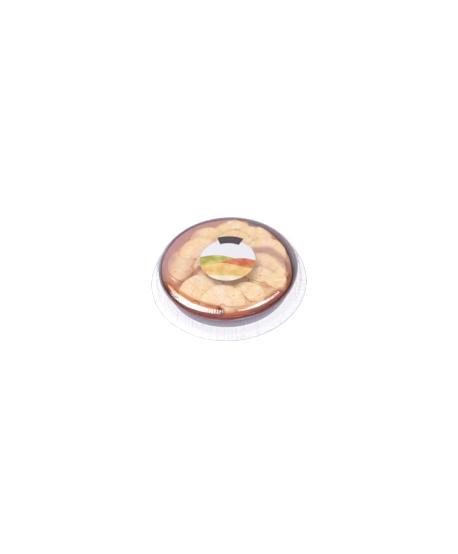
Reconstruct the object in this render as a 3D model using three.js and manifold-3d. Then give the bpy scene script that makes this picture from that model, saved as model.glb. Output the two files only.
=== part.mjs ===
// An apple tart in its foil dish, on a clear base tray and under a clear domed lid with a round sticker.
// Units are millimetres. The origin is the centre of the tray's underside, +Z is up, +X is to the right.

import * as THREE from "three";
import { mergeVertices } from "three/addons/utils/BufferGeometryUtils.js";
import Module from "manifold-3d";

const wasm = await Module();
wasm.setup();

// Driving dimensions.
const gap = 0.3; // clearance kept between pieces that touch
const turnSteps = 48; // steps round each turned piece

const flangeRadius = 142;
const flangeLip = 0.4; // rounding of the tray's and the lid's outermost edge
const trayWall = 0.8;
const trayLift = 0.9; // how far the tray's flange stands above its floor
const trayFloorRadius = 130.5;
const trayStepRun = 1.5; // slope between the tray's floor and its flange

const dishRimRadius = 125;
const dishRimHeight = 37.5; // top of the rolled rim above the ground
const dishBeadRadius = 1.9;
const dishFoil = 0.8;
const dishNeck = 1.2; // straight wall left under the bead
const dishFloorRadius = 111.5;
const dishFloorCorner = 1.3;

const lidWall = 0.8;
const lidTopHeight = 51.5;
const lidPanelRadius = 112; // flat round panel on the lid's top
const lidPanelStep = 0.6; // how far the panel stands above the shoulder
const lidShoulderRadius = 126.6;
const lidShoulderHeight = 45;
const lidBend = 2.3; // rounding between the slanted ring about the panel and the wall
const lidRingTilt = 17; // slant of that ring, in degrees
const lidFootRadius = 133.4;
const lidFootCorner = 1.1; // rounding between the lid's wall and its flange

const labelRadius = 49.5;
const labelThickness = 0.35;
const labelTabRadius = 58.5;
const labelTabHalfAngle = 24.5;
const labelTurn = 82; // the way the sticker's top points

const glazeHeight = 29.5; // caramel surface in the middle
const glazeDome = 2.2; // how much the surface rises under the ring of apple
const domeRadius = 62;
const domeWidth = 42;
const waveHeight = 0.45; // slow waves of the surface
const waveCount = 3; // round the tart
const waveTurn = 40;
const rippleHeight = 0.3; // and quicker ones
const rippleCount = 7;
const rippleTwist = 5; // degrees a millimetre outwards
const rimClimb = 6.6; // how far the tart's border climbs the dish's wall
const rimClimbStart = 94;
const shrinkInset = 4.2; // how far the tart has drawn in from the wall on one side
const shrinkDrop = 1.6; // and how far it has sunk there
const shrinkAngle = 12;
const shrinkSpread = 38;

const sliceThickness = 4.8;
const sliceRadius = 40;
const sliceBevel = 1.1;
const coreRadius = 6; // scoop left by the core
const sliceSink = 2.6; // how deep a slice's middle lies under the glaze height

// Apple slices from the lowest to the highest. x and y place the apple's middle, facing is the way its
// round side points, size scales the radius, tip is how many degrees the round side is raised, lift raises
// the slice, and cut is the share of the radius from the apple's middle to the cut side.
const slicePlaces = [
  { x: 24, y: 8, facing: 8, size: 1.0, tip: 4, lift: 0.4, cut: -0.14 },
  { x: -20, y: 6, facing: 190, size: 1.02, tip: 4, lift: 0.4, cut: -0.14 },
  { x: -2, y: -24, facing: 262, size: 0.95, tip: 3, lift: 0.6, cut: -0.1 },
  { x: 13, y: 80, facing: 86, size: 0.93, tip: 7, lift: 0, cut: -0.14 },
  { x: 14, y: 50, facing: 84, size: 0.95, tip: 9, lift: 1.4, cut: -0.1 },
  { x: 44, y: 57, facing: 50, size: 1.05, tip: 6.5, lift: 0.2, cut: -0.14 },
  { x: 66, y: 21, facing: 54, size: 1.06, tip: 9, lift: 0.6, cut: -0.14 },
  { x: 63, y: -13, facing: 50, size: 1.03, tip: 10, lift: 0.6, cut: -0.12 },
  { x: 61, y: -46, facing: 58, size: 1.02, tip: 10, lift: 1.2, cut: 0.04 },
  { x: 25, y: -81, facing: 77, size: 1.02, tip: 9, lift: 1.0, cut: 0.08 },
  { x: -28, y: -45, facing: 234, size: 1.08, tip: 4, lift: 0.2, cut: 0.1 },
  { x: -13, y: -86, facing: 84, size: 1.02, tip: 9.5, lift: 1.8, cut: -0.08 },
  { x: -47, y: -61, facing: 113, size: 1.05, tip: 9.5, lift: 2.2, cut: -0.1 },
  { x: -35, y: 66, facing: 99, size: 0.9, tip: 7, lift: 0.2, cut: -0.14 },
  { x: -70, y: 10, facing: 165, size: 1.0, tip: 6, lift: 0.8, cut: -0.24 },
  { x: -49, y: 32, facing: 92, size: 1.02, tip: 9, lift: 2.0, cut: -0.14 },
];
// A small offcut of apple lying in the caramel at the front.
const offcut = { x: -6, y: -103.5, facing: 96, size: 0.27, tip: 4, lift: 1.4, cut: 0 };

const radians = THREE.MathUtils.degToRad;

function material(colour, roughness, metalness, opacity = 1) {
  return new THREE.MeshStandardMaterial({
    color: colour,
    roughness,
    metalness,
    opacity,
    transparent: opacity < 1,
  });
}

const clearPlastic = material(0xf2f2f6, 0.08, 0, 0.22);
const foil = material(0x8d8592, 0.35, 0.85);
const caramel = material(0xb8703f, 0.3, 0);
const apple = material(0xf6d9b2, 0.45, 0);
const paper = material(0xf4f2ec, 0.5, 0);

const group = new THREE.Group();

function addMesh(name, geometry, meshMaterial) {
  const mesh = new THREE.Mesh(geometry, meshMaterial);
  mesh.name = name;
  group.add(mesh);
  return mesh;
}

// A turned piece about the Z axis, from a profile of [radius, height] pairs that runs anticlockwise.
function turned(profile) {
  const points = profile.map(([radius, height]) => new THREE.Vector2(radius, height));
  return new THREE.LatheGeometry(points, turnSteps).rotateX(Math.PI / 2);
}

// Points on an arc of an ellipse, from one angle to another, as pairs.
function arc(x, y, xReach, yReach, from, to, steps) {
  return Array.from({ length: steps + 1 }, (_, step) => {
    const angle = radians(from + ((to - from) * step) / steps);
    return [x + xReach * Math.cos(angle), y + yReach * Math.sin(angle)];
  });
}

// ---- Base tray: a flat clear plate with a raised flange

const trayFlangeTop = trayLift + trayWall;

function baseTray() {
  const slant = trayWall / 2; // keeps the sloping step as thick as the rest
  return turned([
    [0, 0],
    [trayFloorRadius, 0],
    [trayFloorRadius + trayStepRun, trayLift],
    [flangeRadius - flangeLip, trayLift],
    [flangeRadius, trayLift + trayWall / 2],
    [flangeRadius - flangeLip, trayFlangeTop],
    [trayFloorRadius + trayStepRun - slant, trayFlangeTop],
    [trayFloorRadius - slant, trayWall],
    [0, trayWall],
  ]);
}

// ---- Foil dish: a flat floor, a sloping wall and a rolled rim

const dishBottom = trayWall + gap;
const dishFloorTop = dishBottom + dishFoil;
const beadMiddle = dishRimHeight - dishBeadRadius;
const wallTopRadius = dishRimRadius - 2 * dishBeadRadius; // outer face of the wall, under the bead
const wallFootRadius = dishFloorRadius + dishFloorCorner;
const wallFootHeight = dishBottom + dishFloorCorner;
const wallSlope = (wallTopRadius - wallFootRadius) / (beadMiddle - wallFootHeight);

function dishInnerRadius(height) {
  return wallFootRadius + (height - wallFootHeight) * wallSlope - dishFoil;
}

function foilDish() {
  return turned([
    [0, dishBottom],
    [dishFloorRadius, dishBottom],
    [wallFootRadius, wallFootHeight],
    [wallTopRadius, beadMiddle - dishNeck],
    [wallTopRadius + dishFoil, beadMiddle - dishNeck],
    ...arc(dishRimRadius - dishBeadRadius, beadMiddle, dishBeadRadius, dishBeadRadius, -60, 180, 6),
    [dishInnerRadius(beadMiddle - dishBeadRadius), beadMiddle - dishBeadRadius],
    [dishInnerRadius(dishFloorTop + dishFoil), dishFloorTop + dishFoil],
    [dishFloorRadius - dishFoil, dishFloorTop],
    [0, dishFloorTop],
  ]);
}

// ---- Clear lid: a flange, a tall sloping wall, a slanted ring and a flat panel on top

const lidFootHeight = trayFlangeTop + gap;
const shoulderTop = lidTopHeight - lidPanelStep;
const panelEdge = lidPanelRadius + 2 * lidPanelStep;

// The bend from the wall to the slanted ring, on the lid's outer face or on its inner one.
function lidCorner(bend, from, to, steps) {
  return arc(lidShoulderRadius - lidBend, lidShoulderHeight, bend, bend, from, to, steps);
}

function clearLid() {
  return turned([
    [0, lidTopHeight - lidWall],
    [lidPanelRadius, lidTopHeight - lidWall],
    [panelEdge, shoulderTop - lidWall],
    ...lidCorner(lidBend - lidWall, 90 - lidRingTilt, 0, 2),
    [lidFootRadius - lidWall, lidFootHeight + lidFootCorner],
    [lidFootRadius, lidFootHeight],
    [flangeRadius - flangeLip, lidFootHeight],
    [flangeRadius, lidFootHeight + lidWall / 2],
    [flangeRadius - flangeLip, lidFootHeight + lidWall],
    [lidFootRadius + lidFootCorner, lidFootHeight + lidWall],
    [lidFootRadius, lidFootHeight + lidWall + lidFootCorner],
    ...lidCorner(lidBend, 0, 90 - lidRingTilt, 3),
    [panelEdge, shoulderTop],
    [lidPanelRadius, lidTopHeight],
    [0, lidTopHeight],
  ]);
}

// ---- Sticker: a round paper label with an arched tab at its top

function sticker() {
  const from = radians(labelTurn - labelTabHalfAngle);
  const to = radians(labelTurn + labelTabHalfAngle);
  const outline = new THREE.Shape();
  outline.absarc(0, 0, labelRadius, to, from + 2 * Math.PI, false);
  outline.absarc(0, 0, labelTabRadius, from, to, false);
  return new THREE.ExtrudeGeometry(outline, {
    depth: labelThickness,
    bevelEnabled: false,
    curveSegments: 18,
  }).translate(0, 0, lidTopHeight + gap);
}

// ---- Booleans

function toSolid(geometry) {
  const bare = geometry.clone();
  bare.deleteAttribute("normal");
  bare.deleteAttribute("uv");
  const merged = mergeVertices(bare, 1e-4);
  const faces = merged.index.array;
  const whole = [];
  for (let i = 0; i < faces.length; i += 3) {
    const [a, b, c] = [faces[i], faces[i + 1], faces[i + 2]];
    if (a !== b && b !== c && c !== a) whole.push(a, b, c);
  }
  return new wasm.Manifold(
    new wasm.Mesh({
      numProp: 3,
      vertProperties: new Float32Array(merged.attributes.position.array),
      triVerts: new Uint32Array(whole),
    }),
  );
}

function toGeometry(solid) {
  const { vertProperties, triVerts } = solid.getMesh();
  const geometry = new THREE.BufferGeometry();
  geometry.setAttribute("position", new THREE.BufferAttribute(vertProperties, 3));
  geometry.setIndex(new THREE.BufferAttribute(triVerts, 1));
  geometry.computeVertexNormals();
  return geometry;
}

// The largest body of a solid that a cut may have parted.
function mainBody(solid) {
  return solid.decompose().reduce((best, body) => (body.volume() > best.volume() ? body : best));
}

// ---- Apple slices

// A half-moon slice with a core scoop in its cut side, lying in its place, grown all round by a margin.
function sliceGeometry(place, grow) {
  const radius = sliceRadius * place.size + grow;
  const cut = sliceRadius * place.size * place.cut - grow;
  const scoop = coreRadius * place.size - grow;
  const end = THREE.MathUtils.radToDeg(Math.acos(cut / radius));
  const round = arc(0, 0, radius - sliceBevel, radius - sliceBevel, -end, end, 12);
  const core = arc(cut, 0, scoop, scoop, 90, -90, 3);
  const outline = new THREE.Shape([...round, ...core].map(([x, y]) => new THREE.Vector2(x, y)));
  const depth = sliceThickness + 2 * grow - 2 * sliceBevel;
  const geometry = new THREE.ExtrudeGeometry(outline, {
    depth,
    bevelThickness: sliceBevel,
    bevelSize: sliceBevel,
    bevelSegments: 1,
  });
  return geometry
    .translate(0, 0, sliceBevel - grow)
    .rotateY(-radians(place.tip))
    .rotateZ(radians(place.facing))
    .translate(place.x, place.y, glazeHeight - sliceSink + place.lift);
}

// ---- Tart body: pastry and caramel in one, following the dish, with an uneven top

const bodySteps = 40;
const bodyFloor = dishFloorTop + gap;
const bodyCorner = 1.2; // slope between the body's underside and its side
const bodyClearance = gap + 0.15; // the side's flats lie a little inside the dish's
const bodyMiddle = 15;
const bodyRounding = 1.5; // rounding of the top's edge
const bodyRings = [30, 62, 92, 104, 113]; // radii of the top's rings, inside the edge

function shrink(angle) {
  const away = THREE.MathUtils.euclideanModulo(angle - shrinkAngle + 180, 360) - 180;
  return Math.exp(-((away / shrinkSpread) ** 2));
}

function glazeTop(radius, angle) {
  const share = radius / dishRimRadius;
  const dome = glazeDome * Math.exp(-(((radius - domeRadius) / domeWidth) ** 2));
  const slowWave = waveHeight * Math.sin(radians(waveCount * angle + waveTurn));
  const quickWave = rippleHeight * Math.sin(radians(rippleCount * angle + rippleTwist * radius));
  const climb = rimClimb * THREE.MathUtils.smoothstep(radius, rimClimbStart, dishRimRadius);
  const sunk = shrinkDrop * shrink(angle) * share ** 3;
  return glazeHeight + dome + (slowWave + quickWave) * share + climb * (1 - shrink(angle)) - sunk;
}

function tartBody() {
  const edgeRadius = (height, angle) => dishInnerRadius(height) - bodyClearance - shrinkInset * shrink(angle);
  const edgeTop = (angle) => glazeTop(dishRimRadius, angle);
  const rings = [
    () => [0, bodyFloor],
    () => [dishFloorRadius - shrinkInset - bodyCorner, bodyFloor],
    (angle) => [edgeRadius(bodyFloor + bodyCorner, angle), bodyFloor + bodyCorner],
    (angle) => [edgeRadius(bodyMiddle, angle), bodyMiddle],
    (angle) => [edgeRadius(edgeTop(angle) - bodyRounding, angle), edgeTop(angle) - bodyRounding],
    (angle) => [edgeRadius(edgeTop(angle), angle) - bodyRounding, edgeTop(angle)],
    ...bodyRings.toReversed().map((radius) => (angle) => [radius, glazeTop(radius, angle)]),
    () => [0, glazeHeight],
  ];
  const positions = [];
  const corner = (ring, step) => {
    const angle = (360 * (step % bodySteps)) / bodySteps;
    const [radius, height] = rings[ring](angle);
    return [radius * Math.cos(radians(angle)), radius * Math.sin(radians(angle)), height];
  };
  for (let ring = 0; ring < rings.length - 1; ring += 1) {
    for (let step = 0; step < bodySteps; step += 1) {
      const [a, b] = [corner(ring, step), corner(ring, step + 1)];
      const [c, d] = [corner(ring + 1, step + 1), corner(ring + 1, step)];
      positions.push(...a, ...b, ...c, ...a, ...c, ...d);
    }
  }
  const geometry = new THREE.BufferGeometry();
  geometry.setAttribute("position", new THREE.Float32BufferAttribute(positions, 3));
  geometry.computeVertexNormals();
  return geometry;
}

// ---- Assembly

addMesh("base_tray", baseTray(), clearPlastic);
addMesh("foil_dish", foilDish(), foil);
addMesh("clear_lid", clearLid(), clearPlastic);
addMesh("label", sticker(), paper);

// Each slice is cut by those that lie over it, and the body by them all.
const places = [...slicePlaces, offcut];
const bodies = places.map((place) => toSolid(sliceGeometry(place, 0)));
const reliefs = places.map((place) => toSolid(sliceGeometry(place, gap)));
places.forEach((place, index) => {
  const cover = reliefs.slice(index + 1);
  const solid = cover.length ? bodies[index].subtract(wasm.Manifold.union(cover)) : bodies[index];
  const name = place === offcut ? "apple_offcut" : "apple_slice_" + String(index + 1).padStart(2, "0");
  addMesh(name, toGeometry(mainBody(solid)), apple);
});
const filling = toSolid(tartBody()).subtract(wasm.Manifold.union(reliefs));
addMesh("tart_filling", toGeometry(mainBody(filling)), caramel);

export default group;
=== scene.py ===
# An apple tart in its foil dish, packed on a clear tray under a clear ribbed lid with a round sticker.
import math

import bmesh
import bpy
import numpy as np
from mathutils import Matrix, Vector, kdtree, noise


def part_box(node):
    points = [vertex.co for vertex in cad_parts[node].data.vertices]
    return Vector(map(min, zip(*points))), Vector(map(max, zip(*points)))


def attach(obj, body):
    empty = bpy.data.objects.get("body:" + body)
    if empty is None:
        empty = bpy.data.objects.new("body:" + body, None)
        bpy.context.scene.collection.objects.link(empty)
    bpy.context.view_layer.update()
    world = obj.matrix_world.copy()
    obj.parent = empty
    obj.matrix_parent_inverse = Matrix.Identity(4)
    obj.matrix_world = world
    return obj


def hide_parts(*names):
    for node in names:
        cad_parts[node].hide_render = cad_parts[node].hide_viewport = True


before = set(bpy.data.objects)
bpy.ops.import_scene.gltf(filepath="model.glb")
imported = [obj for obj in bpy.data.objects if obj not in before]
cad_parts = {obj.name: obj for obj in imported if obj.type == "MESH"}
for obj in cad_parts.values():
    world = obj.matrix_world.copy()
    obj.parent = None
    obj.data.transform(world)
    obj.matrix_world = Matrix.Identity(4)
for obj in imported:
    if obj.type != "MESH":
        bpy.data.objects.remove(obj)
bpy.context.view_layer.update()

dishLow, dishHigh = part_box("foil_dish")
rimRadius, rimHeight = dishHigh.x, dishHigh.z
print("frame loaded:", len(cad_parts), "nodes")


class Wire:
    # an output socket that takes part in Python sums
    def __init__(self, graph, socket):
        self.graph, self.socket = graph, socket

    def maths(self, operation, *others):
        values = dict(enumerate((self, *others)))
        return self.graph.add("ShaderNodeMath", {"operation": operation}, values)

    def __add__(self, other):
        return self.maths("ADD", other)

    __radd__ = __add__

    def __mul__(self, other):
        return self.maths("MULTIPLY", other)

    __rmul__ = __mul__

    def __sub__(self, other):
        return self.maths("SUBTRACT", other)

    def __rsub__(self, other):
        return self.graph.add("ShaderNodeMath", {"operation": "SUBTRACT"}, {0: other, 1: self})

    def __truediv__(self, other):
        return self.maths("DIVIDE", other)

    def __pow__(self, other):
        return self.maths("POWER", other)

    def larger(self, other):
        return self.maths("MAXIMUM", other)

    def smaller(self, other):
        return self.maths("MINIMUM", other)

    def cosine(self):
        return self.maths("COSINE")

    # 0 below the low value and 1 above the high one, with a smooth step between them
    def rise(self, low, high):
        settings = {"interpolation_type": "SMOOTHSTEP"}
        values = {"Value": self, "From Min": low, "From Max": high, "To Min": 0.0, "To Max": 1.0}
        return self.graph.add("ShaderNodeMapRange", settings, values)

    def fall(self, low, high):
        return 1 - self.rise(low, high)

    # 1 on the middle value, fading to 0 a reach away on both sides
    def near(self, middle, reach):
        return (self - middle).maths("ABSOLUTE").fall(0.0, reach)


class Graph:
    def __init__(self, tree):
        self.tree = tree

    def add(self, kind, settings=None, values=None, output=0):
        node = self.tree.nodes.new(kind)
        for key, value in (settings or {}).items():
            setattr(node, key, value)
        for key, value in (values or {}).items():
            self.feed(node.inputs[key], value)
        return Wire(self, node.outputs[output] if node.outputs else None)

    def feed(self, socket, value):
        if isinstance(value, Wire):
            self.tree.links.new(value.socket, socket)
        elif socket.type == "RGBA" and len(value) == 3:
            socket.default_value = (*value, 1)
        else:
            socket.default_value = value

    def split(self, vector):
        first = self.add("ShaderNodeSeparateXYZ", None, {0: vector})
        return [Wire(self, socket) for socket in first.socket.node.outputs]

    def join(self, x, y, z=0.0):
        return self.add("ShaderNodeCombineXYZ", None, {0: x, 1: y, 2: z})

    def blend(self, share, low, high):
        settings = {"data_type": "RGBA", "clamp_factor": True}
        return self.add("ShaderNodeMix", settings, {0: share, 6: low, 7: high}, 2)

    def noise(self, vector, scale, detail=3.0, rough=0.5, warp=0.0):
        return self.add("ShaderNodeTexNoise", None, {
            "Vector": vector, "Scale": scale, "Detail": detail, "Roughness": rough, "Distortion": warp})

    def bump(self, height, strength, distance):
        values = {"Height": height, "Strength": strength, "Distance": distance}
        return self.add("ShaderNodeBump", None, values)


class Paint(Graph):
    def __init__(self, name):
        self.material = bpy.data.materials.new(name)
        self.material.use_nodes = True
        super().__init__(self.material.node_tree)
        self.tree.nodes.clear()
        self.place = self.add("ShaderNodeTexCoord", None, None, 3)  # object coordinates, in metres
        self.x, self.y, self.z = self.split(self.place)
        self.radius = (self.x * self.x + self.y * self.y).maths("SQRT")

    # 1 on faces that look at the pack's axis and 0 on those that look away from it
    def inward(self, soft):
        normal = self.add("ShaderNodeTexCoord", None, None, 1)
        x, y = self.split(normal)[:2]
        return ((x * self.x + y * self.y) / self.radius).fall(-soft, soft)

    # how squarely a point lies in a direction from the axis: 1 straight that way, 0 at right angles
    def towards(self, degrees):
        turn = math.radians(degrees)
        return (self.x * math.cos(turn) + self.y * math.sin(turn)) / (self.radius + 1e-5)

    # 1 in the sector about a direction, fading to 0 at the given number of degrees away from it
    def sector(self, degrees, full, none):
        return self.towards(degrees).rise(math.cos(math.radians(none)), math.cos(math.radians(full)))

    # 1 along a path of straight stretches over the surface, fading to 0 at the given reach from it
    def along(self, path, reach, waver=0.0):
        nearest = None
        for (startX, startY), (endX, endY) in zip(path, path[1:]):
            length = math.hypot(endX - startX, endY - startY)
            stepX, stepY = (endX - startX) / length, (endY - startY) / length
            gone = ((self.x - startX) * stepX + (self.y - startY) * stepY).larger(0.0).smaller(length)
            offX, offY = self.x - startX - gone * stepX, self.y - startY - gone * stepY
            away = (offX * offX + offY * offY).maths("SQRT")
            nearest = away if nearest is None else nearest.smaller(away)
        return (nearest + waver).fall(reach * 0.25, reach)

    def attribute(self, name, output=2):
        return self.add("ShaderNodeAttribute", {"attribute_name": name}, None, output)

    def principled(self, **values):
        named = {key.replace("_", " "): value for key, value in values.items()}
        return self.add("ShaderNodeBsdfPrincipled", None, named)

    def finish(self, shader):
        self.add("ShaderNodeOutputMaterial", None, {"Surface": shader})
        return self.material


def colour(red, green, blue):
    # a screen colour from 0 to 255 as linear light
    return tuple((value / 255) ** 2.2 for value in (red, green, blue))


def addObject(name, mesh):
    piece = bpy.data.objects.new(name, mesh)
    bpy.context.scene.collection.objects.link(piece)
    return piece


def meshPiece(name, points, faces):
    mesh = bpy.data.meshes.new(name)
    mesh.from_pydata([tuple(point) for point in points], [], faces)
    mesh.update()
    return addObject(name, mesh)


def applied(piece, name):
    # the piece with its modifiers worked in, as a plain mesh
    graph = bpy.context.evaluated_depsgraph_get()
    mesh = bpy.data.meshes.new_from_object(piece.evaluated_get(graph))
    bpy.data.objects.remove(piece)
    mesh.name = name
    mesh.polygons.foreach_set("use_smooth", [True] * len(mesh.polygons))
    return addObject(name, mesh)


def turned(name, profile, steps):
    # a closed piece about the Z axis: the profile starts and ends on the axis and runs anticlockwise
    angles = np.linspace(0, 2 * math.pi, steps, endpoint=False)
    inner = profile[1:-1]
    points = [(0, 0, profile[0][1]), (0, 0, profile[-1][1])]
    for radius, height in inner:
        points += [(radius * math.cos(angle), radius * math.sin(angle), height) for angle in angles]

    def at(row, step):
        return 2 + row * steps + step % steps

    last = len(inner) - 1
    faces = []
    for step in range(steps):
        faces.append((0, at(0, step + 1), at(0, step)))
        faces.append((1, at(last, step), at(last, step + 1)))
        for row in range(last):
            faces.append((at(row, step), at(row, step + 1), at(row + 1, step + 1), at(row + 1, step)))
    return meshPiece(name, points, faces)


def refined(profile, spacing):
    # the profile with points added so that none are further apart than the spacing
    result = [profile[0]]
    for start, end in zip(profile, profile[1:]):
        parts = max(1, math.ceil(math.dist(start, end) / spacing))
        for part in range(1, parts + 1):
            result.append(tuple(a + (b - a) * part / parts for a, b in zip(start, end)))
    return result


def arc(centre, reach, start, end, steps):
    # points on a round or oval curve between two angles in degrees
    result = []
    for step in range(steps + 1):
        angle = math.radians(start + (end - start) * step / steps)
        result.append((centre[0] + reach[0] * math.cos(angle), centre[1] + reach[1] * math.sin(angle)))
    return result


def settle(piece, node, material):
    piece.data.materials.clear()
    piece.data.materials.append(material)
    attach(piece, "root")
    if node:
        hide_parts(node)


def newTree(name, numbers):
    # a Geometry Nodes tree that takes a mesh, named numbers, a seed and a material
    tree = bpy.data.node_groups.new(name, "GeometryNodeTree")
    tree.interface.new_socket("Geometry", in_out="INPUT", socket_type="NodeSocketGeometry")
    for label in numbers:
        tree.interface.new_socket(label, in_out="INPUT", socket_type="NodeSocketFloat")
    tree.interface.new_socket("Seed", in_out="INPUT", socket_type="NodeSocketInt")
    tree.interface.new_socket("Material", in_out="INPUT", socket_type="NodeSocketMaterial")
    tree.interface.new_socket("Geometry", in_out="OUTPUT", socket_type="NodeSocketGeometry")
    graph = Graph(tree)
    given = graph.add("NodeGroupInput").socket.node.outputs
    return graph, {socket.name: Wire(graph, socket) for socket in given if socket.name}


def endTree(graph, want, geometry):
    whole = graph.add("GeometryNodeRealizeInstances", None, {"Geometry": geometry})
    dressed = graph.add("GeometryNodeSetMaterial", None, {"Geometry": whole, "Material": want["Material"]})
    graph.add("NodeGroupOutput", None, {"Geometry": dressed})
    return graph.tree


def useTree(piece, tree, settings, material):
    modifier = piece.modifiers.new(tree.name, "NODES")
    modifier.node_group = tree
    for item in tree.interface.items_tree:
        if item.in_out == "INPUT" and item.name in settings:
            modifier[item.identifier] = settings[item.name]
        elif item.in_out == "INPUT" and item.name == "Material":
            modifier[item.identifier] = material


def rippleTree():
    # ribs, pleats or crimps: points move in and out along the radius as the angle goes round
    numbers = ("Count", "Depth", "Low", "High", "Inner", "Outer", "Soft", "Lift", "Uneven")
    graph, want = newTree("ripples", numbers)
    position = graph.add("GeometryNodeInputPosition")
    x, y, z = graph.split(position)
    radius = (x * x + y * y).maths("SQRT")
    wander = graph.noise(position, 38.0, 1.0) - 0.5
    angle = y.maths("ARCTAN2", x) + wander * want["Uneven"]
    wave = (angle * want["Count"]).cosine()
    soft = want["Soft"]
    mask = z.rise(want["Low"], want["Low"] + soft) * z.fall(want["High"] - soft, want["High"])
    mask = mask * radius.rise(want["Inner"], want["Inner"] + soft)
    mask = mask * radius.fall(want["Outer"] - soft, want["Outer"])
    push = wave * mask * want["Depth"]
    safe = radius.larger(1e-5)
    offset = graph.join(x / safe * push, y / safe * push, push * want["Lift"])
    moved = graph.add("GeometryNodeSetPosition", None, {"Geometry": want["Geometry"], "Offset": offset})
    return endTree(graph, want, moved)


ripples = rippleTree()
farOff = 0.2  # a limit beyond the whole pack

cameraView = {
    "imageWidth": 458,
    "imageHeight": 554,
    "elevation": 47.5,
    "roll": 3.6,  # the pack stands turned a little anticlockwise in the picture
    "rimRadiusInImage": 69.7,
    "distanceInRims": 10.0,
    "rimCentreInImage": (227.9, 265.0),
}


def makeCamera():
    data = bpy.data.cameras.new("camera")
    camera = addObject("camera", data)
    lift = math.radians(cameraView["elevation"])
    back = Vector((0, -math.cos(lift), math.sin(lift)))
    camera.location = Vector((0, 0, rimHeight)) + back * cameraView["distanceInRims"] * rimRadius
    turn = (-back).to_track_quat("-Z", "Y").to_matrix().to_4x4()
    camera.rotation_euler = (turn @ Matrix.Rotation(-math.radians(cameraView["roll"]), 4, "Z")).to_euler()
    longSide = max(cameraView["imageWidth"], cameraView["imageHeight"])
    focal = cameraView["rimRadiusInImage"] * cameraView["distanceInRims"]
    data.lens = data.sensor_width * focal / longSide
    centreX, centreY = cameraView["rimCentreInImage"]
    data.shift_x = (cameraView["imageWidth"] / 2 - centreX) / longSide
    data.shift_y = (centreY - cameraView["imageHeight"] / 2) / longSide
    bpy.context.scene.camera = camera


studio = {
    "wallColour": (1.2, 1.2, 1.215),
    "ceilingColour": (0.17, 0.17, 0.18),  # dark, so that the flat lid mirrors little of it
    "wallTop": 27.0,  # the room's walls end and its ceiling starts at these heights, in degrees
    "ceilingEdge": 40.0,
    "floorHalf": 3.0,
    "floorHeight": -0.0004,
    "floorColours": ((0.42, 0.42, 0.425), (0.44, 0.44, 0.445)),
    "floorGrain": 6.0,
    "floorRoughness": 0.8,
    "floorGlow": 0.8,
    "lightDistance": 1.2,
    "boxes": {
        # direction, width, depth, power, colour
        "wideBox": ((-0.345, 0.185, 0.92), 0.44, 0.54, 6.6, (1.0, 0.995, 0.985)),
        "stripBox": ((0.285, 0.142, 0.948), 0.12, 0.32, 1.4, (1.0, 0.99, 0.98)),
        "frontBox": ((0.1, -0.62, 0.78), 0.7, 0.5, 4.2, (1.0, 1.0, 1.0)),
    },
}


def makeLight():
    for name, (direction, width, depth, power, tint) in studio["boxes"].items():
        data = bpy.data.lights.new(name, "AREA")
        data.shape, data.size, data.size_y = "RECTANGLE", width, depth
        data.energy, data.color = power, tint
        lamp = addObject(name, data)
        aim = Vector(direction).normalized()
        lamp.location = Vector((0, 0, rimHeight)) + aim * studio["lightDistance"]
        lamp.rotation_euler = aim.to_track_quat("Z", "Y").to_euler()
    world = bpy.data.worlds.new("studioRoom")
    world.use_nodes = True
    graph = Graph(world.node_tree)
    height = graph.split(graph.add("ShaderNodeTexCoord"))[2]
    low, high = (math.sin(math.radians(studio[edge])) for edge in ("wallTop", "ceilingEdge"))
    sky = graph.blend(height.rise(low, high), studio["wallColour"], studio["ceilingColour"])
    graph.feed(world.node_tree.nodes["Background"].inputs["Color"], sky)
    bpy.context.scene.world = world
    bpy.context.scene.view_settings.view_transform = "Standard"


def makeFloor():
    half, height = studio["floorHalf"], studio["floorHeight"]
    corners = [(x * half, y * half, height) for x, y in ((-1, -1), (1, -1), (1, 1), (-1, 1))]
    floor = meshPiece("floor", corners, [(0, 1, 2, 3)])
    paint = Paint("floorPaint")
    tone = paint.blend(paint.noise(paint.place, studio["floorGrain"]), *studio["floorColours"])
    floor.data.materials.append(paint.finish(paint.principled(
        Base_Color=tone, Roughness=studio["floorRoughness"],
        Emission_Color=(1.0, 1.0, 1.0), Emission_Strength=studio["floorGlow"])))


makeCamera()
makeLight()
makeFloor()
print("camera, light and floor ready")

dish = {
    "foil": 0.00035,
    "beadRadius": 0.0019,
    "neck": 0.0012,  # straight wall left under the bead
    "floorRadius": 0.1115,
    "floorCorner": 0.0016,
    "steps": 1056,
    "spacing": 0.0045,
    "pleats": {"Count": 132.0, "Depth": 0.00042, "Soft": 0.0016, "Lift": 0.0, "Uneven": 0.012},
    "crimps": {"Count": 198.0, "Depth": 0.00014, "Soft": 0.001, "Lift": 0.6, "Uneven": 0.03},
    "metal": 0.45,
    "roughness": (0.26, 0.42),
    "creases": (120.0, 4.0, 0.6, 0.4),  # a noise: its scale, detail, roughness and warp
    "creaseStrength": 0.25,
    "creaseDepth": 0.0006,
    "clouds": (22.0, 2.0),
    "outer": (colour(152, 142, 160), colour(88, 76, 98)),
    "outerShadeHeights": (0.006, rimHeight - 0.004),  # the outer wall is painted darker upwards between these: painted shade on the foil
    "inner": (colour(188, 176, 178), colour(208, 200, 206)),
    "innerClouds": (0.3, 0.75),
    "rim": colour(158, 146, 166),
    "rimHeights": (rimHeight - 0.0036, rimHeight - 0.0012),  # the walls' colours turn into the rim's
    "stain": colour(144, 58, 30),  # caramel that has run onto the rim at the front
    "stainSector": (268, 14, 96),  # its direction, and how far from there it is full and gone, in degrees
    "stainRadii": (rimRadius - 0.001, rimRadius + 0.0006),  # it fades outwards between these
    "stainHeights": (rimHeight - 0.0044, rimHeight - 0.0022),  # and sets in upwards between these
    "stainWaver": (0.003, 0.004),  # how far its edges wander, outwards and upwards
    "stainMetal": 0.4,
}


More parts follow.
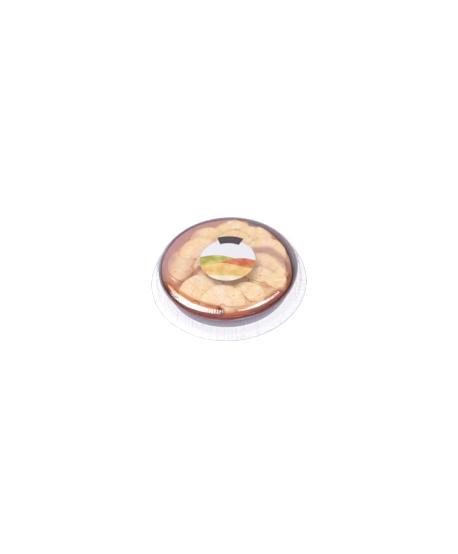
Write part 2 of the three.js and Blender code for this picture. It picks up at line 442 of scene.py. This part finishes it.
def foilPaint():
    paint = Paint("foil")
    crease, clouds = (paint.noise(paint.place, *dish[name]) for name in ("creases", "clouds"))
    # painted shade: the outer wall turns darker towards the rim
    outer = paint.blend(paint.z.rise(*dish["outerShadeHeights"]), *dish["outer"])
    inner = paint.blend(clouds.rise(*dish["innerClouds"]), *dish["inner"])
    tone = paint.blend(paint.inward(0.1), outer, inner)
    tone = paint.blend(paint.z.rise(*dish["rimHeights"]), tone, dish["rim"])
    uneven = clouds - 0.5
    outwards, upwards = dish["stainWaver"]
    stain = paint.sector(*dish["stainSector"])
    stain = stain * (paint.radius + uneven * outwards).fall(*dish["stainRadii"])
    stain = stain * (paint.z + uneven * upwards).rise(*dish["stainHeights"])
    tone = paint.blend(stain, tone, dish["stain"])
    smoothest, roughest = dish["roughness"]
    return paint.finish(paint.principled(
        Base_Color=tone, Metallic=stain * dish["stainMetal"] + dish["metal"],
        Roughness=crease * (roughest - smoothest) + smoothest,
        Normal=paint.bump(crease, dish["creaseStrength"], dish["creaseDepth"])))


def makeDish():
    bottom, bead, foil, floorRadius = dishLow.z, dish["beadRadius"], dish["foil"], dish["floorRadius"]
    middle = rimHeight - bead
    foot = (floorRadius + dish["floorCorner"], bottom + dish["floorCorner"])
    top = (rimRadius - 2 * bead, middle - dish["neck"])
    profile = [(0, bottom), (floorRadius - 0.003, bottom), (floorRadius, bottom + 0.0002), foot, top]
    profile += arc((rimRadius - bead, middle), (bead, bead), -150, 176, 18)[1:]
    profile += [(top[0] - foil - 0.0002, top[1]), (foot[0] - foil, foot[1] + foil)]
    profile += [(floorRadius - 0.001, bottom + foil), (0, bottom + foil)]
    smooth = turned("dishBase", refined(profile, dish["spacing"]), dish["steps"])
    material = foilPaint()
    useTree(smooth, ripples, {
        **dish["pleats"], "Low": bottom + 0.0012, "High": middle - 0.0006, "Inner": 0.0, "Outer": farOff,
    }, material)
    useTree(smooth, ripples, {
        **dish["crimps"], "Low": middle - 0.001, "High": farOff, "Inner": top[0] + 0.0008, "Outer": farOff,
    }, material)
    settle(applied(smooth, "foilDish"), "foil_dish", material)


makeDish()
print("foil dish made")

clearPlastic = {
    "tint": (0.99, 0.987, 0.995),
    "hazeColour": (0.8, 0.79, 0.84),
    "haze": 0.002,
    "edgeHaze": 0.2,
    "streaks": 0.05,
    "streakGrain": (30.0, 12.0, 20.0),  # how fine the streaks are round the pack, upwards and outwards
    "streakShare": (0.45, 0.8),  # the part of the noise that becomes streaks
    "streakStart": (0.1266, 0.131),  # the streaks come in between these radii, where the wall stands
    "mirror": 0.02,
    "ringMirror": 0.06,  # the ribs of the lid's ring throw back more light than its smooth faces
    "ringStart": (0.1132, 0.1146),
    "ringEnd": (0.125, 0.1262),
    "edgeMirror": 0.55,
    "slant": 5,  # a higher number keeps haze and mirroring closer to grazing views
    "roughness": 0.08,
    "edgeColour": (0.42, 0.43, 0.39),
    "edgeShare": 0.5,
    "edgeWidth": 0.0013,  # how far the cut edge of the flanges shows
}


def clearPaint(name):
    paint = Paint(name)
    look = clearPlastic
    glow = paint.add("ShaderNodeBsdfDiffuse", None, {"Color": look["hazeColour"]})
    through = paint.add("ShaderNodeBsdfTransparent", None, {"Color": look["tint"]})
    gloss = paint.add("ShaderNodeBsdfGlossy", None, {"Roughness": look["roughness"]})
    cut = paint.add("ShaderNodeBsdfDiffuse", None, {"Color": look["edgeColour"]})
    slanting = paint.add("ShaderNodeLayerWeight", None, {"Blend": 0.5}, 1) ** look["slant"]
    about, upwards, outwards = look["streakGrain"]
    grain = paint.join(paint.y.maths("ARCTAN2", paint.x) * about, paint.z * upwards, paint.radius * outwards)
    streak = paint.noise(grain, 1.0, 2.0).rise(*look["streakShare"]) * paint.radius.rise(*look["streakStart"])
    haze = streak * look["streaks"] + look["haze"] + slanting * look["edgeHaze"]
    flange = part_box("clear_lid")[1].x
    edge = paint.radius.rise(flange - look["edgeWidth"], flange) * look["edgeShare"]
    ring = paint.radius.rise(*look["ringStart"]) * paint.radius.fall(*look["ringEnd"])
    mirror = slanting * look["edgeMirror"] + look["mirror"] + ring * look["ringMirror"]
    shader = through
    for share, layer in ((haze, glow), (edge, cut), (mirror, gloss)):
        shader = paint.add("ShaderNodeMixShader", None, {0: share, 1: shader, 2: layer})
    return paint.finish(shader)


tray = {
    "wall": 0.0006,
    "lift": 0.0009,  # how far the flange stands above the floor
    "floorRadius": 0.1305,
    "steps": 360,
    "spacing": 0.012,
}


def makeTray():
    low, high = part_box("base_tray")
    edge, top = high.x, high.z
    wall, lift, floorRadius = tray["wall"], tray["lift"], tray["floorRadius"]
    profile = [
        (0, low.z), (floorRadius, low.z), (floorRadius + 0.0012, lift), (edge - 0.0006, lift),
        (edge, lift + 0.0003), (edge - 0.0001, top - 0.0001), (edge - 0.0005, top),
        (edge - 0.0012, lift + wall), (floorRadius + 0.001, lift + wall), (floorRadius - 0.0004, wall),
        (0, wall),
    ]
    smooth = turned("trayBase", refined(profile, tray["spacing"]), tray["steps"])
    settle(applied(smooth, "clearTray"), "base_tray", clearPaint("clearTray"))


lid = {
    "wall": 0.0005,
    "panelRadius": 0.112,
    "panelStep": 0.0006,
    "crease": 0.0005,  # how sharply the panel's edge turns
    "shoulderRadius": 0.1266,
    "shoulderHeight": 0.045,
    "footRadius": 0.1334,
    "bend": 0.0023,  # rounding between the slanted ring and the wall
    "ringTilt": 17.0,
    "bendTilt": 22.0,  # where the ring meets its rounding
    "ringBulge": 0.0003,
    "steps": 1376,
    "spacing": 0.004,
    "ribs": {"Count": 172.0, "Depth": 0.000045, "Soft": 0.0014, "Lift": 1.0, "Uneven": 0.0},
    "wallRibs": {"Count": 60.0, "Depth": 0.00012, "Soft": 0.003, "Lift": 0.0, "Uneven": 0.0},
}


def bowed(start, end, bulge, steps=8):
    # the points between two others, on a shallow bow above the straight line
    points = []
    for step in range(1, steps):
        share = step / steps
        radius, height = (a + (b - a) * share for a, b in zip(start, end))
        points.append((radius, height + 4 * bulge * share * (1 - share)))
    return points


def makeLid():
    low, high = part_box("clear_lid")
    edge, top, foot, wall = high.x, high.z, low.z, lid["wall"]
    panel, crease, bend, footRadius = lid["panelRadius"], lid["crease"], lid["bend"], lid["footRadius"]
    panelEdge, shoulderTop = panel + 2 * lid["panelStep"], top - lid["panelStep"]
    corner = (lid["shoulderRadius"] - bend, lid["shoulderHeight"])
    ringStart = shoulderTop - crease * math.tan(math.radians(lid["ringTilt"]))
    ringUnder, ringOver = (panelEdge + crease, ringStart - wall), (panelEdge + crease, ringStart)
    under = arc(corner, (bend - wall, bend - wall), 90 - lid["bendTilt"], 0, 5)
    over = arc(corner, (bend, bend), 0, 90 - lid["bendTilt"], 6)
    profile = [(panel - crease, top - wall), (panel, top - wall), (panelEdge, shoulderTop - wall)]
    profile += [ringUnder, *bowed(ringUnder, under[0], lid["ringBulge"]), *under]
    profile += [
        (footRadius - wall, foot + 0.001), (footRadius + 0.0004, foot), (edge - 0.0003, foot),
        (edge, foot + wall / 2), (edge - 0.0003, foot + wall), (footRadius + 0.0009, foot + wall),
        (footRadius, foot + wall + 0.0008),
    ]
    profile += [*over, *bowed(over[-1], ringOver, lid["ringBulge"]), ringOver]
    profile += [(panelEdge, shoulderTop), (panel, top), (panel - crease, top)]
    outline = [(0, top - wall), *refined(profile, lid["spacing"]), (0, top)]
    smooth = turned("lidBase", outline, lid["steps"])
    material = clearPaint("clearLid")
    useTree(smooth, ripples, {
        **lid["ribs"], "Low": lid["shoulderHeight"], "High": farOff, "Inner": panelEdge - 0.0002,
        "Outer": farOff,
    }, material)
    useTree(smooth, ripples, {
        **lid["wallRibs"], "Low": foot + 0.004, "High": lid["shoulderHeight"] - 0.003, "Inner": 0.0,
        "Outer": farOff,
    }, material)
    settle(applied(smooth, "clearLid"), "clear_lid", material)


makeTray()
makeLid()
print("clear tray and lid made")


def mergedCopy(node, name, voxel, smoothing):
    # an even, rounded skin over a copy of one of the solids
    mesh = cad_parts[node].data.copy()
    mesh.materials.clear()
    work = bmesh.new()
    work.from_mesh(mesh)
    bmesh.ops.remove_doubles(work, verts=work.verts, dist=1e-6)
    work.to_mesh(mesh)
    work.free()
    piece = addObject(name, mesh)
    remesh = piece.modifiers.new("remesh", "REMESH")
    remesh.mode, remesh.voxel_size = "VOXEL", voxel
    soften = piece.modifiers.new("soften", "SMOOTH")
    soften.factor, soften.iterations = 0.5, smoothing
    return applied(piece, name)


def vertexArray(mesh, what="co"):
    values = np.empty(len(mesh.vertices) * 3)
    mesh.vertices.foreach_get(what, values)
    return values.reshape(-1, 3)


def storePoints(mesh, points):
    mesh.vertices.foreach_set("co", points.ravel())
    mesh.update()


def storeNumbers(mesh, name, numbers):
    layer = mesh.attributes.new(name, "FLOAT", "POINT")
    layer.data.foreach_set("value", np.asarray(numbers, dtype=np.float32))


def rumple(points, normals, depth, size, seed):
    shift = Vector((seed * 7.3, seed * 3.1, seed * 5.7))
    heights = [noise.noise(Vector(point) / size + shift) for point in points]
    return points + normals * (np.array(heights) * depth)[:, None]


glazeLevel = 0.0295

slices = {
    "radius": 0.04,
    "voxel": 0.0008,
    "smoothing": 5,
    "grow": 0.00017,  # closes the clearance between the slices
    "swell": (0.0008, 0.016, 3),  # depth and size of the soft unevenness, and its seed
    "grain": (0.00016, 0.0025, 40),
    # where each apple's middle lies in millimetres, the way its round side points, and its size
    "places": [
        (24, 8, 8, 1.0), (-20, 6, 190, 1.02), (-2, -24, 262, 0.95), (13, 80, 86, 0.93), (14, 50, 84, 0.95),
        (44, 57, 50, 1.05), (66, 21, 54, 1.06), (63, -13, 50, 1.03), (61, -46, 58, 1.02), (25, -81, 77, 1.02),
        (-28, -45, 234, 1.08), (-13, -86, 84, 1.02), (-47, -61, 113, 1.05), (-35, 66, 99, 0.9),
        (-70, 10, 165, 1.0), (-49, 32, 92, 1.02), (-6, -103.5, 96, 0.27),
    ],
    # noises: their scale, detail, roughness and warp
    "mottle": (58.0, 5.0, 0.62, 0.3),
    "fine": (330.0, 3.0, 0.6),
    "broad": (19.0, 2.0),
    "flecked": (560.0, 2.0),
    "fibreGrain": (9.0, 1.6),  # how fine the fibres and rays are round the apple's middle and away from it
    "rayGrain": (22.0, 2.4),
    "flesh": (colour(252, 234, 208), colour(243, 206, 164)),
    # what is laid over the flesh: its colour and its strength
    "honey": (colour(247, 217, 158), 0.55),
    "blush": (colour(248, 208, 180), 0.5),
    "fibre": (colour(230, 178, 128), 0.5),
    "ray": (colour(255, 243, 222), 0.3),
    "core": (colour(216, 150, 100), 0.35),
    "skin": (colour(216, 152, 100), 0.4),
    "wet": (colour(212, 146, 102), 0.8),
    "golden": (colour(222, 150, 70), 0.6),
    "fleck": (colour(158, 104, 74), 0.55),
    "goldenSector": (285, 40, 100),
    "glaze": 0.95,  # how much of the runs shows on the apple
    "coat": 0.25,
    "coatRoughness": 0.14,
    "bumpDepth": 0.0003,
}


# where the glaze has run over apple and pastry, and where shade, shadow and the lid's reflection are painted:
# a path in millimetres, its reach, its colour and its strength
glazeRuns = [
    ([(-118, -8), (-113, 30), (-97, 62), (-74, 86)], 34, colour(214, 154, 126), 0.7),  # border at the left and back, on this line and the next two: glaze with the lid's hazy reflection painted in, paler and rosier
    ([(-118, 4), (-111, 40), (-93, 70), (-70, 92)], 21, colour(194, 150, 154), 0.8),
    ([(-66, 100), (-38, 111), (-8, 116)], 16, colour(198, 152, 144), 0.8),
    # a painted glint: the foil wall showing grey-violet in a gap between apples
    ([(48, 106), (58, 98)], 9, colour(146, 118, 130), 0.85),
    ([(55, 34), (77, 30), (90, 14), (105, -2), (112, -16)], 15, colour(186, 128, 120), 0.75),  # at the right: glaze with the lid's hazy reflection painted in, rosier
    # painted shadow below the edge of an apple at the right
    ([(53, -7), (69, -13), (82, -24)], 6, colour(216, 162, 126), 0.5),
    ([(9, -45), (22, -40), (37, -40), (54, -45), (72, -54)], 6, colour(212, 146, 110), 0.6),
    # painted shadow along the edge of an apple at the back
    ([(8, 90), (24, 91), (37, 79)], 4, colour(202, 152, 120), 0.5),
    ([(-50, 0), (-75, -25), (-99, -40)], 9, colour(190, 122, 104), 0.85),  # the wedge at the left
    ([(-106, -34), (-91, -56), (-69, -73), (-45, -86), (-21, -94)], 8, colour(198, 108, 32), 0.85),
    ([(64, -84), (76, -76), (88, -66)], 11, colour(160, 62, 16), 0.9),  # browned front right
    ([(116, -16), (109, -38), (96, -62)], 6, colour(184, 100, 52), 0.7),
    ([(-19, -94), (-14, -104), (-16, -117)], 7, colour(126, 38, 2), 0.9),  # the dark pool at the front
    ([(-8, -111), (8, -110), (26, -106)], 8, colour(208, 88, 4), 0.9),
    ([(-78, -88), (-52, -104), (-20, -116), (16, -117), (48, -107)], 5, colour(138, 34, 4), 0.8),
]
glazeWaver = 0.0011  # how far the runs' edges wander, for each millimetre of reach


# lays the runs over a tone: glaze, and painted shade, shadow, glint and reflection
def glazed(paint, tone, swirl, share):
    for path, reach, shade, strength in glazeRuns:
        metres = [(x / 1000, y / 1000) for x, y in path]
        mask = paint.along(metres, reach / 1000, (swirl - 0.5) * (reach * glazeWaver))
        tone = paint.blend(mask * (strength * share), tone, shade)
    return tone


def applePaint():
    paint = Paint("apple")
    share, turn, seed = (paint.attribute(name) for name in ("share", "turn", "seed"))
    noises = (paint.noise(paint.place, *slices[name]) for name in ("mottle", "fine", "broad", "flecked"))
    mottle, fine, broad, flecked = noises
    about, outwards = slices["fibreGrain"]
    fibre = paint.noise(paint.join(turn * about, share * outwards, seed), 1.0, 3.0, 0.6)
    about, outwards = slices["rayGrain"]
    rays = paint.noise(paint.join(turn * about, share * outwards, seed + 3.0), 1.0, 2.0, 0.55)
    wobble = share + (mottle - 0.5) * 0.1
    golden = paint.radius.rise(0.08, 0.116) * paint.sector(*slices["goldenSector"])
    masks = {
        "honey": broad.rise(0.4, 0.62),
        "blush": broad.fall(0.36, 0.5),
        "fibre": fibre.rise(0.45, 0.75),
        "ray": rays.rise(0.5, 0.72),
        "core": wobble.near(0.43, 0.035) * fine.rise(0.3, 0.6),
        "skin": wobble.rise(0.9, 1.0),
        "wet": paint.z.fall(glazeLevel + 0.0008, glazeLevel + 0.0052),
        "golden": golden * mottle.rise(0.25, 0.6),
    }
    tone = paint.blend(mottle.rise(0.32, 0.68), *slices["flesh"])
    for name, mask in masks.items():
        shade, strength = slices[name]
        tone = paint.blend(mask * strength, tone, shade)
    tone = glazed(paint, tone, mottle, slices["glaze"])
    shade, strength = slices["fleck"]
    tone = paint.blend(flecked.rise(0.7, 0.76) * strength, tone, shade)
    return paint.finish(paint.principled(
        Base_Color=tone, Roughness=fine * 0.2 + 0.3, Coat_Weight=slices["coat"],
        Coat_Roughness=slices["coatRoughness"], Subsurface_Weight=0.15, Subsurface_Scale=0.003,
        Normal=paint.bump(fine + fibre * 1.6, 0.4, slices["bumpDepth"])))


def makeApple():
    material = applePaint()
    made = []
    names = sorted(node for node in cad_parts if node.startswith("apple_slice"))
    for index, node in enumerate(names + ["apple_offcut"]):
        name = "apple" + node.split("_")[-1].title()
        piece = mergedCopy(node, name, slices["voxel"], slices["smoothing"])
        mesh = piece.data
        normals = vertexArray(mesh, "normal")
        points = vertexArray(mesh) + normals * slices["grow"]
        points = rumple(points, normals, *slices["swell"])
        depth, size, seed = slices["grain"]
        points = rumple(points, normals, depth, size, seed + index)
        storePoints(mesh, points)
        x, y, facing, scale = slices["places"][index]
        away = points[:, :2] - np.array((x, y)) / 1000
        turn = np.arctan2(away[:, 1], away[:, 0]) - math.radians(facing)
        storeNumbers(mesh, "share", np.hypot(away[:, 0], away[:, 1]) / (slices["radius"] * scale))
        storeNumbers(mesh, "turn", (turn + math.pi) % (2 * math.pi))
        storeNumbers(mesh, "seed", np.full(len(points), index * 5.3))
        settle(piece, node, material)
        made.append(piece)
    return made


filling = {
    "voxel": 0.0012,
    "smoothing": 5,
    "swell": (0.0006, 0.018, 90),  # depth and size of the soft unevenness, and its seed
    "wetReach": 0.0022,  # the glaze climbs where it meets an apple
    "wetRise": 0.0014,
    "far": 0.008,  # away from any apple from here on
    "swirl": (30.0, 4.0, 0.55, 0.8),  # noises: their scale, detail, roughness and warp
    "fine": (210.0, 2.0),
    # two colours for each tone, and where the swirl turns from one into the other
    "peach": (colour(234, 184, 140), colour(246, 212, 168), (0.35, 0.7)),
    # glaze with the lid's hazy reflection painted in, paler and rosier than the glaze itself
    "roseAndSheen": (colour(206, 150, 132), colour(226, 178, 154), (0.35, 0.7)),
    "amber": (colour(158, 62, 6), colour(200, 112, 28), (0.35, 0.7)),
    "dark": (colour(84, 14, 0), colour(134, 38, 2), (0.4, 0.65)),
    "amberSector": (275, 60, 95),  # the border is amber here, and elsewhere rose, with the lid's hazy reflection painted in
    "borderRadii": (0.092, 0.108),  # the middle turns into the border between these
    "borderWaver": 0.02,
    "darkSector": (262, 78, 108),
    "darkRadii": (0.107, 0.1165),
    "darkWaver": 0.012,
    "glaze": 1.0,  # how much of the runs shows on the filling
    "coat": 0.35,
    "coatRoughness": 0.06,
    "bumpDepth": 0.0004,
}


def caramelPaint():
    paint = Paint("caramel")
    swirl, fine = (paint.noise(paint.place, *filling[name]) for name in ("swirl", "fine"))
    depth, uneven = paint.attribute("depth"), swirl - 0.5
    tones = {}
    for name in ("peach", "roseAndSheen", "amber", "dark"):
        deep, pale, turning = filling[name]
        tones[name] = paint.blend(swirl.rise(*turning), deep, pale)
    border = paint.blend(paint.sector(*filling["amberSector"]), tones["roseAndSheen"], tones["amber"])
    outer = (paint.radius + uneven * filling["borderWaver"]).rise(*filling["borderRadii"])
    tone = paint.blend(outer * depth.rise(0.0, 0.5), tones["peach"], border)
    rim = (paint.radius + uneven * filling["darkWaver"]).rise(*filling["darkRadii"])
    tone = paint.blend(rim * paint.sector(*filling["darkSector"]), tone, tones["dark"])
    tone = glazed(paint, tone, swirl, filling["glaze"])
    return paint.finish(paint.principled(
        Base_Color=tone, Roughness=swirl * 0.1 + 0.16, Coat_Weight=filling["coat"],
        Coat_Roughness=filling["coatRoughness"], Normal=paint.bump(fine, 0.08, filling["bumpDepth"])))


def makeFilling(apples):
    piece = mergedCopy("tart_filling", "tartFilling", filling["voxel"], filling["smoothing"])
    points, normals = vertexArray(piece.data), vertexArray(piece.data, "normal")
    top = (normals[:, 2] > 0.35) & (points[:, 2] > glazeLevel - 0.006)
    moved = rumple(points, normals, *filling["swell"])
    points = np.where(top[:, None], moved, points)
    near = kdtree.KDTree(sum(len(apple.data.vertices) for apple in apples))
    for apple in apples:
        for point in vertexArray(apple.data):
            near.insert(Vector(point), 0)
    near.balance()
    depth = np.ones(len(points))
    for index in np.nonzero(top)[0]:
        away = near.find(Vector(points[index]))[2]
        points[index, 2] += filling["wetRise"] * math.exp(-((away / filling["wetReach"]) ** 2))
        depth[index] = min(1.0, away / filling["far"])
    storePoints(piece.data, points)
    storeNumbers(piece.data, "depth", depth)
    settle(piece, "tart_filling", caramelPaint())
    return piece


appleSlices = makeApple()
print("apple slices made:", len(appleSlices))
tartFilling = makeFilling(appleSlices)
print("tart filling made, triangles:", 2 * len(tartFilling.data.polygons))

specks = {
    "numbers": {"Density": 1500.0, "Size": 0.001, "Flatness": 0.4, "Seed": 11},  # density by the square metre
    "sizes": (0.5, 1.25),  # the smallest and the largest, as shares of the size
    "upward": (0.5, 0.7),  # how level the ground has to be
    "heights": (glazeLevel - 0.002, glazeLevel + 0.001),  # they set in about the glaze's level
    "colours": (colour(86, 46, 24), colour(142, 88, 52)),
}


def speckTree():
    graph, want = newTree("scatteredSpecks", ("Density", "Size", "Flatness"))
    up = graph.split(graph.add("GeometryNodeInputNormal"))[2]
    high = graph.split(graph.add("GeometryNodeInputPosition"))[2]
    shown = up.rise(*specks["upward"]) * high.rise(*specks["heights"])
    points = graph.add("GeometryNodeDistributePointsOnFaces", None, {
        "Mesh": want["Geometry"], "Selection": shown.maths("GREATER_THAN", 0.5),
        "Density": want["Density"], "Seed": want["Seed"]})
    grain = graph.add("GeometryNodeMeshIcoSphere", None, {"Radius": want["Size"], "Subdivisions": 1})
    smallest, largest = specks["sizes"]
    size = graph.add("FunctionNodeRandomValue", {"data_type": "FLOAT"}, {
        "Min": smallest, "Max": largest, "Seed": want["Seed"]}, 1)
    scale = graph.join(size, size * 0.8, size * want["Flatness"])
    scattered = graph.add("GeometryNodeInstanceOnPoints", None, {
        "Points": points, "Instance": grain, "Scale": scale})
    return endTree(graph, want, scattered)


def speckPaint():
    paint = Paint("spice")
    tone = paint.blend(paint.noise(paint.place, 700.0, 1.0).rise(0.35, 0.65), *specks["colours"])
    return paint.finish(paint.principled(Base_Color=tone, Roughness=0.6))


def makeSpecks():
    work = bmesh.new()
    for piece in [*appleSlices, tartFilling]:
        work.from_mesh(piece.data)
    mesh = bpy.data.meshes.new("speckGround")
    work.to_mesh(mesh)
    work.free()
    ground = addObject("speckGround", mesh)
    material = speckPaint()
    useTree(ground, speckTree(), specks["numbers"], material)
    piece = applied(ground, "spiceSpecks")
    settle(piece, None, material)
    return len(piece.data.polygons)


print("specks made, triangles:", makeSpecks())

sticker = {
    "thickness": 0.0001,
    "clearance": 0.00005,  # between the lid and the sticker
    "radius": 0.0495,
    "bandInner": 0.0405,  # the dark band runs from here to the end of the tab
    "tabRadius": 0.0585,
    "tabHalfAngle": 24.5,
    "tabCorner": (1.2, 0.0008),  # how much is cut off the tab's corners, in degrees and metres
    "turn": 82.0,
    "steps": 120,
    "weave": (900.0, 2.0),  # noises: their scale and detail
    "clouds": (60.0, 2.0),
    "paper": (colour(216, 215, 221), colour(223, 221, 227)),
    "tabColour": colour(72, 62, 68),
    # wavy fields from the back to the front: waves across, their start, height, middle and two colours
    "fields": [
        (2.4, 0.9, 0.14, 0.06, colour(160, 150, 66), colour(196, 188, 112)),
        (2.0, -1.1, 0.22, -0.12, colour(186, 92, 62), colour(212, 134, 96)),
        (3.1, 0.4, 0.1, -0.27, colour(212, 168, 96), colour(226, 192, 132)),
        (1.2, 0.0, 0.04, -0.8, colour(220, 206, 184), colour(226, 216, 200)),
    ],
}


def labelPaint():
    paint = Paint("labelPrint")
    turn, size, half = math.radians(sticker["turn"]), sticker["radius"], sticker["tabHalfAngle"]
    up = (paint.x * math.cos(turn) + paint.y * math.sin(turn)) / size
    side = (paint.x * math.sin(turn) - paint.y * math.cos(turn)) / size
    away = (side * side + up * up).maths("SQRT")
    weave = paint.noise(paint.place, *sticker["weave"])
    cloudy = paint.noise(paint.place, *sticker["clouds"]).rise(0.35, 0.65)
    tone = paint.blend(weave, *sticker["paper"])
    for waves, start, height, middle, shade, pale in sticker["fields"]:
        edge = (side * waves + start).cosine() * height + middle
        tone = paint.blend((up - edge).fall(-0.01, 0.01), tone, paint.blend(cloudy, shade, pale))
    band = sticker["bandInner"] / size
    wide, narrow = (math.cos(math.radians(half + soft)) for soft in (0.4, -0.4))
    inBand = away.rise(band - 0.008, band + 0.008) * up.rise(0.4, 0.41) * (up / away).rise(wide, narrow)
    tone = paint.blend(inBand, tone, sticker["tabColour"])
    return paint.finish(paint.principled(
        Base_Color=tone, Roughness=0.45, Normal=paint.bump(weave, 0.05, 0.0001)))


def makeSticker():
    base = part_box("clear_lid")[1].z + sticker["clearance"]
    half, turn, tabRadius = sticker["tabHalfAngle"], sticker["turn"], sticker["tabRadius"]
    cutAngle, cutLength = sticker["tabCorner"]
    outline = arc((0, 0), (sticker["radius"],) * 2, turn + half, turn - half + 360, sticker["steps"])
    outline.append(arc((0, 0), (tabRadius - cutLength,) * 2, turn - half, turn, 1)[0])
    outline += arc((0, 0), (tabRadius,) * 2, turn - half + cutAngle, turn + half - cutAngle, 24)
    outline.append(arc((0, 0), (tabRadius - cutLength,) * 2, turn + half, turn, 1)[0])
    mesh = bpy.data.meshes.new("stickerLabel")
    work = bmesh.new()
    face = work.faces.new([work.verts.new((x, y, base)) for x, y in outline])
    made = bmesh.ops.extrude_face_region(work, geom=[face])
    lifted = [item for item in made["geom"] if isinstance(item, bmesh.types.BMVert)]
    bmesh.ops.translate(work, vec=(0, 0, sticker["thickness"]), verts=lifted)
    bmesh.ops.recalc_face_normals(work, faces=work.faces)
    bmesh.ops.triangulate(work, faces=work.faces)
    work.to_mesh(mesh)
    work.free()
    settle(addObject("stickerLabel", mesh), "label", labelPaint())


makeSticker()
print("sticker made")

bpy.context.view_layer.update()
print("scene finished")
